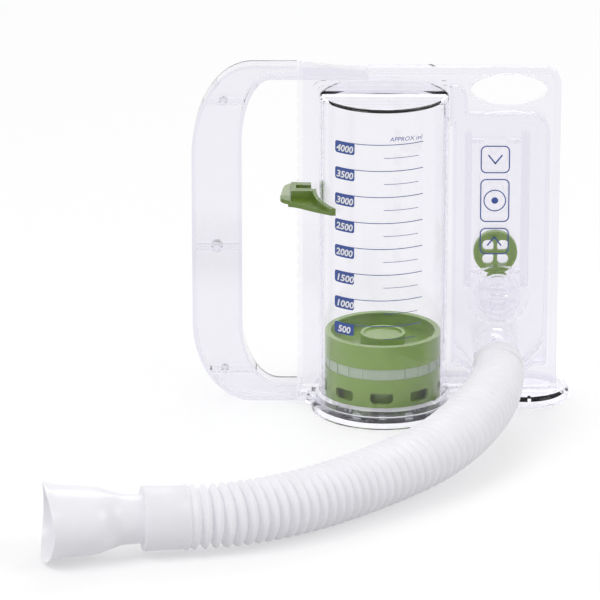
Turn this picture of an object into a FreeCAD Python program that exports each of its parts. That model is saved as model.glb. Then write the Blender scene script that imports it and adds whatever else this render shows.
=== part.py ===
# Incentive spirometer: a clear two-shell housing with a piston in a volume chamber,
# a disc float in a flow chamber, a goal slider on a notched rail, a C-shaped handle,
# and a corrugated hose with a mouthpiece. Millimetres, +Z up, the front faces -Y.
# The origin is under the chamber's axis, on the surface that the base stands on.
import FreeCAD, Part
import math
import os
from FreeCAD import Vector

# Longer than the whole part, for cuts that go right through
beyond = 250.0

# Volume chamber
chamber_radius = 32.0
chamber_wall = 1.8
chamber_height = 158.5
chamber_top_rounding = 2.0
floor_thickness = 2.7
floor_vent_radius = 2.4
floor_vent_ring = 17.0
floor_vents = 8

# Housing shells, which meet in the parting plane
parting_y = 3.5
sheet = 1.6
front_sheet_left = -40.1
rail_reach = 2.9
rail_tip_x = front_sheet_left - rail_reach
panel_over_chamber = 13.0
panel_top = chamber_height + panel_over_chamber
panel_corner = 8.5
rim_width = 3.2
rim_rise = 1.7
pad_left = -chamber_radius - 3.4
pad_right = chamber_radius - 0.1
pad_top_rise = 6.1
pad_top = chamber_height + pad_top_rise
pad_corner = 5.0
pad_rise = 1.1
frame_left = -chamber_radius - 0.9
frame_top_rise = 4.1
frame_top = chamber_height + frame_top_rise
frame_corner = 3.5
frame_rise = 2.2
ledge_half_width = chamber_radius - 1.1
ledge_top_rise = 2.4
ledge_top = chamber_height + ledge_top_rise
ledge_corner = 2.5
ledge_rise = 3.4
stud_radius = 1.4
stud_height = 1.1
stud_places = ((40.4, 10.6), (77.3, 10.6))

# Notched rail on the rear shell's left edge
notch_pitch = 6.65
notch_depth = 0.9
notch_first_z = 21.0
notch_end_margin = 17.0
notch_count = int((panel_top - notch_end_margin - notch_first_z) / notch_pitch) + 1

# Oval hole for hanging the part up
hang_drop = 11.6
hang_z = panel_top - hang_drop
hang_half_width = 18.85
hang_half_height = 7.75
hang_rim = 1.6
hang_rim_rise = 1.3
duct_gap = 0.3
duct_width = 8.7
duct_left = chamber_radius + duct_gap
duct_right = duct_left + duct_width
hang_side_gap = 0.15
hang_x = duct_right + hang_side_gap + hang_rim + hang_half_width
panel_beyond_hole = 25.6
panel_right = hang_x + panel_beyond_hole

# Base plate
base_height = 5.4
base_wall = 1.6
base_end_x = 71.7
base_end_y = 5.0
base_end_radius = 22.2
base_bulge_reach = 3.8
base_bulge_radius = chamber_radius + base_bulge_reach
base_front_y = -13.3
base_rear_y = 3.0
base_arm_half = 5.2
base_corner = 6.0
flare_left = -46.0
flare_radius = 10.3
base_edge = 2.6
base_field_depth = 1.2
base_field_inset = 3.8
base_hollow_inset = 2.2
snap_slot_x = 73.1
snap_slot_width = 1.7
snap_slot_reach = 7.0
snap_slot_sill = 1.4
weld_gap = 0.15
seam = 0.1

# Handle
handle_outer_x = -95.1
handle_inner_x = -70.3
handle_front_y = -5.25
handle_wall = 1.8
top_bar_rise = 2.4
top_bar_height = 7.2
top_bar_top = panel_top + top_bar_rise
top_bar_bottom = top_bar_top - top_bar_height
bottom_bar_top = 9.1
outer_top_width = 30.0
outer_top_height = 46.7
outer_low_width = 29.6
outer_low_height = 42.0
inner_top_width = 14.5
inner_top_height = 33.0
inner_low_width = 18.8
inner_low_height = 32.0
ridge_bend_x = -36.0
ridge_down_x = -14.0
ridge_end_x = -8.0
rib_thickness = 1.0
bar_slot_x = -51.8
bar_slot_width = 1.3
bar_slot_height = 4.1
bar_slot_low_z = top_bar_bottom + 1.3
bar_slot_high_z = bar_slot_low_z + bar_slot_height
top_pin_drop = 19.6
pin_places = ((-79.4, top_bar_top - top_pin_drop, 1.2), (-82.8, 79.6, 1.9), (-79.2, 15.0, 1.0))
rib_reach_left = 16.0
rib_reach_right = 18.0
socket_wall = 0.8
pin_gap = 0.1
pin_length = 3.4

# Flow chamber cover
cover_front_y = -5.25
cover_wall = 1.6
cover_gap = 2.2
cover_left = chamber_radius + cover_gap
cover_side_gap = 5.4
cover_right = panel_right - cover_side_gap
cover_under_top = 9.2
cover_top = chamber_height - cover_under_top
cover_bottom = 14.0
cover_foot_z = 18.6
cover_corner = 10.0
cover_foot_reach = 6.0
channel_shoulder_z = 30.0
channel_top_z = 47.0
channel_wall = 1.1
channel_corner = 14.0
duct_top_rise = 4.5
duct_height = 20.0
duct_top = chamber_height + duct_top_rise
duct_bottom = duct_top - duct_height
duct_corner = 6.5
window_drop = 3.5
window_height = 8.5
window_high_z = chamber_height - window_drop
window_low_z = window_high_z - window_height
window_near_y = -3.0

# Float and its guides
float_x = 55.65
float_rest_z = 77.4
float_radius = 10.9
float_thickness = 3.4
float_rim = 1.5
float_web = 2.2
float_hole_width = 5.5
float_hole_height = 5.3
float_hole_corner = 2.3
float_spoke_width = 1.9
float_top_margin = 24.3
float_travel = cover_top - float_top_margin - float_rest_z
float_gap = 0.45
guide_gap = 1.35
guide_left_width = 3.4
guide_right_width = 4.2
guide_low_z = 60.0
guide_drop = 10.3
guide_high_z = cover_top - guide_drop
stop_reach = 5.5
stop_height = 2.0
stop_gap = 0.3
taper_rib_width = 1.1
taper_rib_inset = 0.9
taper_rib_low_z = 106.7
taper_rib_drop = 6.0
taper_rib_high_z = guide_high_z - taper_rib_drop

# Relief valve in the boss under the float
valve_x = 56.9
valve_z = 56.8
valve_boss_radius = 15.3
valve_boss_rise = 5.0
cage_radius = 11.4
cage_thickness = 1.2
cage_ring = 1.7
cage_hub_radius = 5.9
cage_hub_ring = 1.1
cage_spoke = 1.0
cage_spokes = 8
cage_recess = 1.2
flap_radius = 9.6
flap_thickness = 0.6
flap_seat_gap = 0.3
valve_hole_radius = 2.6
valve_hole_ring = 5.4
valve_holes = 5

# Port and the hose's sleeve on it
port_x = 56.6
port_z = 26.8
port_radius = 11.6
port_wall = 1.6
port_end_y = -34.6
port_seam_width = 2.2
port_seam_rise = 0.3
port_seam_offset = 3.3
cuff_start_y = -24.6
cuff_wall = 1.1
cuff_gap = 0.15
cuff_collar = 2.6

# Hose, whose points run from the port's sleeve to the mouth sleeve
hose_radius = 15.0
hose_wall = 2.4
hose_arc_share = 0.48
hose_route = (
    (56.6, -39.0, 26.8),
    (54.3, -59.7, 26.7),
    (47.9, -84.4, 25.1),
    (36.1, -110.0, 22.0),
    (19.5, -134.4, 18.7),
    (-1.7, -155.9, 17.2),
    (-24.3, -176.4, 16.1),
    (-44.7, -192.5, 16.3),
    (-61.2, -201.9, 16.4),
    (-72.6, -206.7, 16.5),
    (-83.0, -209.7, 16.75),
    (-92.6, -211.4, 17.04),
)

# Mouth sleeve and mouthpiece, along the hose's last direction
mouth_cuff_length = 21.0
mouth_cuff_radius = 15.2
mouth_cuff_bead = 0.5
neck_radius = 11.3
neck_wall = 1.5
neck_depth = 15.0
neck_gap = 0.3
neck_length = 9.0
bell_shoulder = 11.0
bell_length = 37.0
bell_wall = 1.5
bell_root_half_width = 12.0
bell_root_half_height = 11.8
bell_rise_half_width = 13.8
bell_rise_half_height = 13.3
bell_half_width = 17.4
bell_half_height = 14.8
bell_middle_half_width = 18.7
bell_middle_half_height = 15.5
bell_end_half_width = 19.8
bell_end_half_height = 16.9
lip_half_width = 22.0
lip_half_height = 18.9
lip_length = 4.5
lip_hollow_radius = 60.0

# Piston
piston_gap = 1.2
piston_wall = 1.5
piston_rest_z = 3.0
skirt_top_z = 18.8
band_top_z = 24.3
cup_top_z = 36.2
cup_floor_z = 28.9
cup_floor_thickness = 1.8
cup_lip = 0.9
band_recess = 0.5
band_rib_width = 0.9
band_ribs = 24
slot_count = 9
slot_width = 11.0
slot_height = 5.4
slot_z = 9.0
skirt_flange = 1.2
skirt_inner_gap = 3.6
hub_radius = 11.2
hub_top_z = 34.6
hub_wall = 1.6
hub_spigot_radius = 4.0

# Goal slider
slider_low_z = 102.7
slider_plate = 2.0
slider_flat_y = -11.5
slider_knee_y = -2.0
slider_rear_y = 11.6
slider_knee_lift = 0.6
slider_rear_lift = 4.5
slider_wing_low_z = 104.0
slider_wing_right = -46.4
slider_arm_front_top = 108.9
slider_arm_rear_top = 110.8
slider_horn_tip_top = 106.2
slider_slot_gap = 0.3
slider_left = -51.4
slider_clip_left = -46.0
slider_horn_gap = 1.4
slider_arm = 3.8
slider_rear_arm = 3.4
slider_ridge = 2.0


def box(x0, x1, y0, y1, z0, z1):
    """A box from its two corners."""
    return Part.makeBox(x1 - x0, y1 - y0, z1 - z0, Vector(x0, y0, z0))


def post(radius, z0, z1, x=0.0, y=0.0):
    """An upright cylinder."""
    return Part.makeCylinder(radius, z1 - z0, Vector(x, y, z0))


def drum(radius, y0, y1, x, z):
    """A cylinder that lies along Y."""
    return Part.makeCylinder(radius, y1 - y0, Vector(x, y0, z), Vector(0, 1, 0))


def upright(x, z):
    """A point of an outline that stands in the XZ plane."""
    return Vector(x, 0, z)


def flat(x, y):
    """A point of an outline that lies in the XY plane."""
    return Vector(x, y, 0)


def joined(first, *others):
    """One clean solid from pieces that touch or overlap."""
    return first.fuse(list(others)).removeSplitter()


def rounded_face(corners, place):
    """A face from corners (a, b, radius); place turns a and b into a point."""
    points = [place(a, b) for a, b, radius in corners]
    starts, middles, ends = [], [], []
    for i, point in enumerate(points):
        radius = corners[i][2]
        before = (points[i - 1] - point).normalize()
        after = (points[(i + 1) % len(points)] - point).normalize()
        half = before.getAngle(after) / 2
        reach = radius / math.tan(half)
        bisector = (before + after).normalize()
        starts.append(point + before * reach)
        ends.append(point + after * reach)
        middles.append(point + bisector * (radius / math.sin(half) - radius))
    edges = []
    for i in range(len(points)):
        if corners[i][2] > 0:
            edges.append(Part.Arc(starts[i], middles[i], ends[i]).toShape())
        following = starts[(i + 1) % len(points)]
        if ends[i].distanceToPoint(following) > 1e-6:
            edges.append(Part.makeLine(ends[i], following))
    return Part.Face(Part.Wire(edges))


def standing(face, y0, y1):
    """An upright face drawn at y = 0, made a plate from y0 to y1."""
    moved = face.copy()
    moved.translate(Vector(0, y0, 0))
    return moved.extrude(Vector(0, y1 - y0, 0))


def lying(face, z0, z1):
    """A flat face drawn at z = 0, made a plate from z0 to z1."""
    moved = face.copy()
    moved.translate(Vector(0, 0, z0))
    return moved.extrude(Vector(0, 0, z1 - z0))


def ring(outer, inner, y0, y1, x, z):
    """A tube that lies along Y."""
    return drum(outer, y0, y1, x, z).cut(drum(inner, y0 - 1, y1 + 1, x, z))


def ellipse_face(x, z, half_width, half_height):
    """An upright face with an oval edge, wider than it is tall."""
    oval = Part.Ellipse(upright(x + half_width, z), upright(x, z + half_height), upright(x, z))
    return Part.Face(Part.Wire(oval.toShape()))


def chamber_body():
    """The closed cylinder with its flat top, before it is parted in two."""
    inner = chamber_radius - chamber_wall
    under = chamber_height - chamber_wall
    bend = chamber_top_rounding * (1 - math.sqrt(0.5))
    shoulder_z = chamber_height - chamber_top_rounding
    shoulder_radius = chamber_radius - chamber_top_rounding
    outside = [
        Part.makeLine(upright(0, 0), upright(chamber_radius, 0)),
        Part.makeLine(upright(chamber_radius, 0), upright(chamber_radius, shoulder_z)),
        Part.Arc(
            upright(chamber_radius, shoulder_z),
            upright(chamber_radius - bend, chamber_height - bend),
            upright(shoulder_radius, chamber_height),
        ).toShape(),
        Part.makeLine(upright(shoulder_radius, chamber_height), upright(0, chamber_height)),
        Part.makeLine(upright(0, chamber_height), upright(0, 0)),
    ]
    block = Part.Face(Part.Wire(outside)).revolve(Vector(0, 0, 0), Vector(0, 0, 1), 360)
    return block, post(inner, -1, under)


def panel_face(left):
    """The panel's outline, from its left edge to the rounded top right corner."""
    return rounded_face(
        [
            (left, base_height + seam, 0),
            (panel_right, base_height + seam, 0),
            (panel_right, panel_top, panel_corner),
            (left, panel_top, 0),
        ],
        upright,
    )


def panel_rim(y0, y1):
    """The raised rim along the panel's top and right edge."""
    inner_corner = panel_corner - rim_width
    face = rounded_face(
        [
            (ridge_end_x, panel_top - rim_width, 0),
            (panel_right - rim_width, panel_top - rim_width, inner_corner),
            (panel_right - rim_width, base_height + seam, 0),
            (panel_right, base_height + seam, 0),
            (panel_right, panel_top, panel_corner),
            (ridge_end_x, panel_top, 0),
        ],
        upright,
    )
    return standing(face, y0, y1)


def raised_field(left, right, top, corner, rise):
    """A field of the sheet's front, raised by this much, around the chamber."""
    face_y = parting_y - sheet
    corners = [
        (left, base_height + seam, 0),
        (right, base_height + seam, 0),
        (right, top, corner / 2),
        (left, top, corner),
    ]
    return standing(rounded_face(corners, upright), face_y - rise, face_y)


def hang_hole(y0, y1, grow=0.0):
    """The oval hole's space, or its rim's outline with grow."""
    return standing(ellipse_face(hang_x, hang_z, hang_half_width + grow, hang_half_height + grow), y0, y1)


def front_shell():
    """Front sheet with the chamber's front half, rim, oval hole, studs and float ribs."""
    face_y = parting_y - sheet
    plate = standing(panel_face(front_sheet_left), face_y, parting_y)
    block, space = chamber_body()
    half = block.common(box(-beyond, beyond, -beyond, parting_y, -1, beyond))
    shell = joined(
        plate,
        half,
        panel_rim(face_y - rim_rise, face_y),
        hang_hole(face_y - hang_rim_rise, face_y, hang_rim),
        raised_field(pad_left, pad_right, pad_top, pad_corner, pad_rise),
        raised_field(frame_left, -frame_left - 1.2, frame_top, frame_corner, frame_rise),
        raised_field(-ledge_half_width, ledge_half_width, ledge_top, ledge_corner, ledge_rise),
    )
    for x, z in stud_places:
        shell = shell.fuse(drum(stud_radius, face_y - stud_height, face_y, x, z))
    rear_of_float = cover_front_y + cover_wall + float_gap + float_thickness
    rib_front = rear_of_float + float_gap
    left_rib = float_x - float_radius + taper_rib_inset
    right_rib = float_x + float_radius - taper_rib_inset - taper_rib_width
    for x in (left_rib, right_rib):
        rib = box(x, x + taper_rib_width, rib_front, face_y, taper_rib_low_z, taper_rib_high_z)
        shell = shell.fuse(rib)
    window_x = chamber_radius - 2 * chamber_wall
    window = box(window_x, chamber_radius + 1, window_near_y, face_y - 0.6, window_low_z, window_high_z)
    return shell.cut([space, hang_hole(-beyond, beyond), window]).removeSplitter()


def rail_notches():
    """The row of notches along the rear sheet's left edge."""
    notches = []
    half = notch_pitch / 4
    for i in range(notch_count):
        z = notch_first_z + i * notch_pitch
        corners = [
            (rail_tip_x - 1, z - 2 * half, 0),
            (rail_tip_x + notch_depth, z - half / 2, 0),
            (rail_tip_x + notch_depth, z + half / 2, 0),
            (rail_tip_x - 1, z + half, 0),
        ]
        notches.append(standing(rounded_face(corners, upright), parting_y - 1, parting_y + sheet + 1))
    return notches


def rear_shell():
    """Rear sheet with the chamber's rear half, the rim, the oval hole and the notched rail."""
    back_y = parting_y + sheet
    plate = standing(panel_face(rail_tip_x), parting_y + seam, back_y)
    block, space = chamber_body()
    half = block.common(box(-beyond, beyond, parting_y + seam, beyond, -1, beyond))
    shell = joined(
        plate,
        half,
        panel_rim(back_y, back_y + rim_rise),
        hang_hole(back_y, back_y + hang_rim_rise, hang_rim),
    )
    return shell.cut([space, hang_hole(-beyond, beyond)] + rail_notches()).removeSplitter()


def quarter(x, z, width, height, side, lift):
    """A quarter of an oval that joins (x + side * width, z) and (x, z + lift * height)."""
    sideways = upright(x + side * width, z)
    upwards = upright(x, z + lift * height)
    middle = upright(x, z)
    if height > width:
        oval = Part.Ellipse(upwards, sideways, middle)
    else:
        oval = Part.Ellipse(sideways, upwards, middle)
    return Part.ArcOfEllipse(oval, 0, math.pi / 2).toShape()


def handle_face(inset, top_end, bottom_end):
    """The C-shaped outline, every edge moved in by inset; top_end is a list of points."""
    top_x = handle_outer_x + outer_top_width
    low_x = handle_outer_x + outer_low_width
    in_top_x = handle_inner_x + inner_top_width
    in_low_x = handle_inner_x + inner_low_width
    top_z = top_bar_top - outer_top_height
    low_z = outer_low_height
    in_top_z = top_bar_bottom - inner_top_height
    in_low_z = bottom_bar_top + inner_low_height
    left = handle_outer_x + inset
    right = handle_inner_x - inset
    chain = [upright(x, z) for x, z in top_end]
    edges = [Part.makeLine(upright(top_x, top_bar_top - inset), chain[0])]
    edges += [Part.makeLine(a, b) for a, b in zip(chain, chain[1:])]
    edges += [
        Part.makeLine(chain[-1], upright(in_top_x, top_bar_bottom + inset)),
        quarter(in_top_x, in_top_z, inner_top_width + inset, inner_top_height + inset, -1, 1),
        Part.makeLine(upright(right, in_top_z), upright(right, in_low_z)),
        quarter(in_low_x, in_low_z, inner_low_width + inset, inner_low_height + inset, -1, -1),
        Part.makeLine(upright(in_low_x, bottom_bar_top - inset), upright(bottom_end, bottom_bar_top - inset)),
        Part.makeLine(upright(bottom_end, bottom_bar_top - inset), upright(bottom_end, inset)),
        Part.makeLine(upright(bottom_end, inset), upright(low_x, inset)),
        quarter(low_x, low_z, outer_low_width - inset, outer_low_height - inset, -1, -1),
        Part.makeLine(upright(left, low_z), upright(left, top_z)),
        quarter(top_x, top_z, outer_top_width - inset, outer_top_height - inset, -1, 1),
    ]
    return Part.Face(Part.Wire(Part.__sortEdges__(edges)))


def handle_front():
    """The handle's front channel, open at the back, with three cross ribs and their sockets."""
    outside = handle_face(
        0,
        [
            (ridge_bend_x, top_bar_top),
            (ridge_down_x, panel_top),
            (ridge_end_x - seam, panel_top),
            (ridge_end_x - seam, top_bar_bottom),
        ],
        front_sheet_left - seam,
    )
    hollow_end = front_sheet_left - handle_wall
    inside = handle_face(
        handle_wall,
        [(hollow_end, top_bar_top - handle_wall), (hollow_end, top_bar_bottom + handle_wall)],
        hollow_end,
    )
    channel = standing(outside, handle_front_y, parting_y)
    hollow = standing(inside, handle_front_y + handle_wall, parting_y)
    channel = channel.cut(hollow)
    pin_end = parting_y - pin_length
    for x, z, radius in pin_places:
        low, high = z - rib_thickness / 2, z + rib_thickness / 2
        rib = box(x - rib_reach_left, x + rib_reach_right, handle_front_y, parting_y, low, high)
        socket = drum(radius + pin_gap + socket_wall, pin_end - 1.5, parting_y, x, z)
        foot = drum(radius, handle_front_y + 0.5, pin_end - 1, x, z)
        channel = channel.fuse([rib.common(hollow), socket, foot])
        channel = channel.cut(drum(radius + pin_gap, pin_end - 0.3, parting_y + 1, x, z))
    lap_low = top_bar_bottom - 1
    lap = box(front_sheet_left - seam, beyond, parting_y - sheet - seam, parting_y + 1, lap_low, beyond)
    half = bar_slot_width / 2
    slot_end = handle_front_y + handle_wall / 2
    left = bar_slot_x - half
    slot = box(left, left + bar_slot_width, handle_front_y - 1, slot_end, bar_slot_low_z, bar_slot_high_z)
    return channel.cut([lap, slot]).removeSplitter()


def handle_back():
    """The handle's flat back with three locating pins."""
    end = rail_tip_x - seam
    face = handle_face(0, [(end, top_bar_top), (end, top_bar_bottom)], end)
    plate = standing(face, parting_y + seam, parting_y + sheet)
    pins = [drum(radius, parting_y - pin_length, parting_y + sheet / 2, x, z) for x, z, radius in pin_places]
    return joined(plate, *pins)


def base_body(inset, z0, z1):
    """The foot's outline as a solid, every edge moved in by inset."""
    bulge = base_bulge_radius - inset
    end = base_end_radius - inset
    solid = joined(
        post(bulge, z0, z1, 0, base_front_y),
        post(bulge, z0, z1, 0, base_rear_y),
        box(-bulge, bulge, base_front_y, base_rear_y, z0, z1),
        box(0, base_end_x, base_end_y - end, base_end_y + end, z0, z1),
        post(end, z0, z1, base_end_x, base_end_y),
    )
    return solid


def base_arm(inset, z0, z1):
    """The foot's short arm under the handle, every edge moved in by inset."""
    return box(front_sheet_left + inset, 0, -base_arm_half + inset, base_arm_half - inset, z0, z1)


def inner_corners(solid, height):
    """The two upright edges where the foot's long arm leaves the round part."""
    edges = []
    for edge in solid.Edges:
        if len(edge.Vertexes) < 2 or abs(edge.Length - height) > 0.01:
            continue
        point = edge.CenterOfMass
        spread = abs(edge.Vertexes[0].X - edge.Vertexes[1].X) + abs(edge.Vertexes[0].Y - edge.Vertexes[1].Y)
        if spread > 0.01:
            continue
        if 20 < point.x < base_end_x - 1:
            edges.append(edge)
    return edges


def upper_edges(solid, height):
    """The edges around the foot's upper face."""
    return [edge for edge in solid.Edges if all(abs(vertex.Z - height) < 0.01 for vertex in edge.Vertexes)]


def base_plate():
    """The hollow foot, with a hole and a collar for the chamber, a sunken field and a snap slot."""
    solid = base_body(0, 0, base_height)
    solid = solid.makeFillet(base_corner, inner_corners(solid, base_height))
    solid = solid.makeFillet(base_edge, upper_edges(solid, base_height))
    flare_front = handle_front_y - seam
    flare_y = flare_front - flare_radius
    flare = box(flare_left, flare_left + 1.5 * flare_radius, flare_y, flare_front, 0, base_height)
    flare = flare.cut(post(flare_radius, -1, base_height + 1, flare_left, flare_y))
    solid = solid.fuse([base_arm(0, 0, base_height), flare])
    field_front = base_end_y - base_end_radius + base_field_inset
    field = base_body(base_field_inset, base_height - base_field_depth, base_height + 1)
    field = field.common(box(chamber_radius, beyond, field_front - 1, parting_y - sheet - 1.5, 0, beyond))
    ceiling = base_height - base_wall - base_field_depth
    hollow = joined(base_body(base_hollow_inset, -1, ceiling), base_arm(base_hollow_inset, -1, ceiling))
    hole = post(chamber_radius + weld_gap, -1, base_height + 1)
    collar = post(chamber_radius + weld_gap + base_wall, 0, base_height - base_wall / 2)
    slot = box(
        snap_slot_x - snap_slot_width / 2,
        snap_slot_x + snap_slot_width / 2,
        base_end_y - base_end_radius - 1,
        base_end_y - base_end_radius + snap_slot_reach,
        snap_slot_sill,
        base_height + 1,
    )
    return solid.cut(hollow).fuse(collar.common(solid)).cut([hole, slot, field]).removeSplitter()


def chamber_floor():
    """The chamber's floor disc, with a ring of vents that let air in under the piston."""
    disc = post(chamber_radius - chamber_wall - weld_gap, 0, floor_thickness)
    vents = []
    for i in range(floor_vents):
        angle = 2 * math.pi * i / floor_vents
        x = floor_vent_ring * math.cos(angle)
        y = floor_vent_ring * math.sin(angle)
        vents.append(post(floor_vent_radius, -1, 10, x, y))
    return disc.cut(vents)


def cover_face():
    """The flow chamber's outline, with the duct that reaches up beside the chamber."""
    port_left = port_x - port_radius - 1
    port_right = port_x + port_radius + 1
    return rounded_face(
        [
            (duct_left, duct_top, 1),
            (duct_right, duct_top, min(duct_corner, 0.75 * (duct_right - duct_left))),
            (duct_right, cover_top, 1.8),
            (cover_right, cover_top, cover_corner),
            (cover_right, cover_foot_z, 2.5),
            (port_right + cover_foot_reach, cover_foot_z, 5),
            (port_right, cover_bottom, 2.5),
            (port_left, cover_bottom, 2.5),
            (port_left - cover_foot_reach, cover_foot_z, 5),
            (cover_left, cover_foot_z, 2.5),
            (cover_left, duct_bottom, 1),
            (duct_left, duct_bottom, 0.8),
        ],
        upright,
    )


def channel_face():
    """The U of the air channel inside the cover, which narrows down to the port."""
    inset = cover_wall / 2
    return rounded_face(
        [
            (cover_left + inset, channel_top_z + 20, 0),
            (cover_right - inset, channel_top_z + 20, 0),
            (cover_right - inset, channel_shoulder_z, channel_corner),
            (port_x + port_radius - 1, cover_bottom + cover_wall, 5),
            (port_x - port_radius + 1, cover_bottom + cover_wall, 5),
            (cover_left + inset, channel_shoulder_z, cover_corner),
        ],
        upright,
    )


def flow_cover():
    """The raised cover over the flow chamber, with the valve boss and the port's opening."""
    back_y = parting_y - sheet - seam
    face = cover_face()
    inside = face.makeOffset2D(-cover_wall)
    cover = standing(face, cover_front_y, back_y)
    cover = cover.cut(standing(inside, cover_front_y + cover_wall, back_y + 1))
    boss_y = cover_front_y - valve_boss_rise
    boss = ring(valve_boss_radius, cage_radius + weld_gap, boss_y, cover_front_y, valve_x, valve_z)
    channel = channel_face()
    walls = standing(channel, cover_front_y + cover_wall / 2, back_y)
    walls = walls.cut(standing(channel.makeOffset2D(-channel_wall), cover_front_y, back_y + 1))
    walls = walls.common(box(cover_left, cover_right, cover_front_y, back_y, 0, channel_top_z))
    cover = joined(cover, boss, walls)
    cuts = [drum(port_radius - port_wall, cover_front_y - 1, back_y - 2, port_x, port_z)]
    for i in range(valve_holes):
        angle = 2 * math.pi * (i + 0.5) / valve_holes
        x = valve_x + valve_hole_ring * math.sin(angle)
        z = valve_z + valve_hole_ring * math.cos(angle)
        cuts.append(drum(valve_hole_radius, cover_front_y - 1, cover_front_y + cover_wall + 1, x, z))
    window_end = duct_left + cover_wall + 0.5
    cuts.append(box(duct_left - 1, window_end, window_near_y, back_y - 0.6, window_low_z, window_high_z))
    return cover.cut(cuts).removeSplitter()


def float_guides():
    """Two upright rails that keep the float in line, each with a lower and an upper stop."""
    front_y = cover_front_y + cover_wall + weld_gap
    back_y = parting_y - sheet - seam
    reach = float_radius + guide_gap
    slope = math.sqrt(float_radius ** 2 - (reach - stop_reach) ** 2)
    low_stop = float_rest_z - slope - stop_gap
    high_stop = float_rest_z + float_travel + slope + stop_gap
    rails = []
    for side, width in ((-1, guide_left_width), (1, guide_right_width)):
        inner = float_x + side * reach
        outer = inner + side * width
        tip = inner - side * stop_reach
        rail = box(min(inner, outer), max(inner, outer), front_y, back_y, guide_low_z, guide_high_z)
        low = box(min(inner, tip), max(inner, tip), front_y, back_y, low_stop - stop_height, low_stop)
        high = box(min(inner, tip), max(inner, tip), front_y, back_y, high_stop, high_stop + stop_height)
        rails.append(joined(rail, low, high))
    return Part.makeCompound(rails)


def flow_float():
    """The disc float with a rim and four rounded holes around a cross."""
    front_y = cover_front_y + cover_wall + float_gap
    back_y = front_y + float_thickness
    disc = drum(float_radius, front_y, back_y, float_x, float_rest_z)
    web_y = front_y + (float_thickness - float_web) / 2
    recess = float_radius - float_rim
    disc = disc.cut([
        drum(recess, front_y - 1, web_y, float_x, float_rest_z),
        drum(recess, web_y + float_web, back_y + 1, float_x, float_rest_z),
    ])
    near = float_spoke_width / 2
    far_x = near + float_hole_width
    far_z = near + float_hole_height
    holes = []
    for side in (-1, 1):
        for lift in (-1, 1):
            corners = [
                (float_x + side * near, float_rest_z + lift * near, 1.0),
                (float_x + side * far_x, float_rest_z + lift * near, float_hole_corner),
                (float_x + side * far_x, float_rest_z + lift * far_z, float_hole_corner),
                (float_x + side * near, float_rest_z + lift * far_z, float_hole_corner),
            ]
            holes.append(standing(rounded_face(corners, upright), front_y - 1, back_y + 1))
    return disc.cut(holes)


def valve_cage():
    """The spoked grille that closes the valve boss."""
    front_y = cover_front_y - valve_boss_rise + cage_recess
    back_y = front_y + cage_thickness
    outer = ring(cage_radius, cage_radius - cage_ring, front_y, back_y, valve_x, valve_z)
    hub = ring(cage_hub_radius, cage_hub_radius - cage_hub_ring, front_y, back_y, valve_x, valve_z)
    bars = []
    for i in range(cage_spokes):
        bar = box(-cage_spoke / 2, cage_spoke / 2, front_y, back_y, cage_hub_radius - 0.5, cage_radius - 0.5)
        bar.rotate(Vector(0, 0, 0), Vector(0, 1, 0), 360.0 * (i + 0.5) / cage_spokes)
        bar.translate(Vector(valve_x, 0, valve_z))
        bars.append(bar)
    for level in (-2.4, 0, 2.4):
        half = math.sqrt((cage_hub_radius - 0.5) ** 2 - level ** 2)
        z = valve_z + level
        bars.append(box(valve_x - half, valve_x + half, front_y, back_y, z - 0.4, z + 0.4))
    return joined(outer, hub, *bars)


def valve_flap():
    """The thin disc that lifts off its seat when the user blows out."""
    back_y = cover_front_y - flap_seat_gap
    return drum(flap_radius, back_y - flap_thickness, back_y, valve_x, valve_z)


def port_tube():
    """The round port that the hose pushes onto, with a seam on its top."""
    back_y = cover_front_y - seam
    tube = ring(port_radius, port_radius - port_wall, port_end_y, back_y, port_x, port_z)
    left = port_x - port_seam_offset
    low = port_z + port_radius - port_wall / 2
    high = port_z + port_radius + port_seam_rise
    rib = box(left, left + port_seam_width, cuff_start_y + 1, back_y, low, high)
    return joined(tube, rib)


def port_cuff():
    """The hose's smooth sleeve on the port, with a collar where the hose starts."""
    bore = port_radius + cuff_gap
    start = Vector(*hose_route[0])
    back = (start - Vector(*hose_route[1])).normalize()
    collar = Part.makeCylinder(hose_radius, cuff_collar, start, back)
    sleeve = ring(bore + cuff_wall, bore, start.y + cuff_collar / 2, cuff_start_y, port_x, port_z)
    throat = Part.makeCylinder(hose_radius - hose_wall - 1.5, cuff_collar + 4, start - back, back)
    seat = drum(bore, port_end_y - weld_gap, cuff_start_y, port_x, port_z)
    return joined(sleeve, collar).cut(throat.fuse(seat))


def hose_path():
    """Straight runs joined by tangent arcs along the route, with each arc's radius."""
    points = [Vector(*p) for p in hose_route]
    edges, radii = [], []
    here = points[0]
    for before, corner, after in zip(points, points[1:], points[2:]):
        to_before = before - corner
        to_after = after - corner
        reach = hose_arc_share * min(to_before.Length, to_after.Length)
        to_before.normalize()
        to_after.normalize()
        half = to_before.getAngle(to_after) / 2
        radius = reach * math.tan(half)
        start = corner + to_before * reach
        end = corner + to_after * reach
        middle = corner + (to_before + to_after).normalize() * (radius / math.sin(half) - radius)
        edges.append(Part.LineSegment(here, start).toShape())
        edges.append(Part.Arc(start, middle, end).toShape())
        radii.append(radius)
        here = end
    edges.append(Part.LineSegment(here, points[-1]).toShape())
    return Part.Wire(edges), radii


def hose():
    """The hose as a plain tube of its outer diameter."""
    path, radii = hose_path()
    start = Vector(*hose_route[0])
    direction = Vector(*hose_route[1]) - start
    solids = []
    for radius in (hose_radius, hose_radius - hose_wall):
        circle = Part.Wire(Part.Circle(start, direction, radius).toShape())
        solids.append(path.makePipeShell([circle], True, False))
    tube = solids[0].cut(solids[1])
    section = math.pi * (hose_radius ** 2 - (hose_radius - hose_wall) ** 2)
    print("hose length", round(path.Length, 1), "volume over section times length",
          round(tube.Volume / (section * path.Length), 4))
    print("hose radii", [round(r) for r in radii])
    return tube


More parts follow.
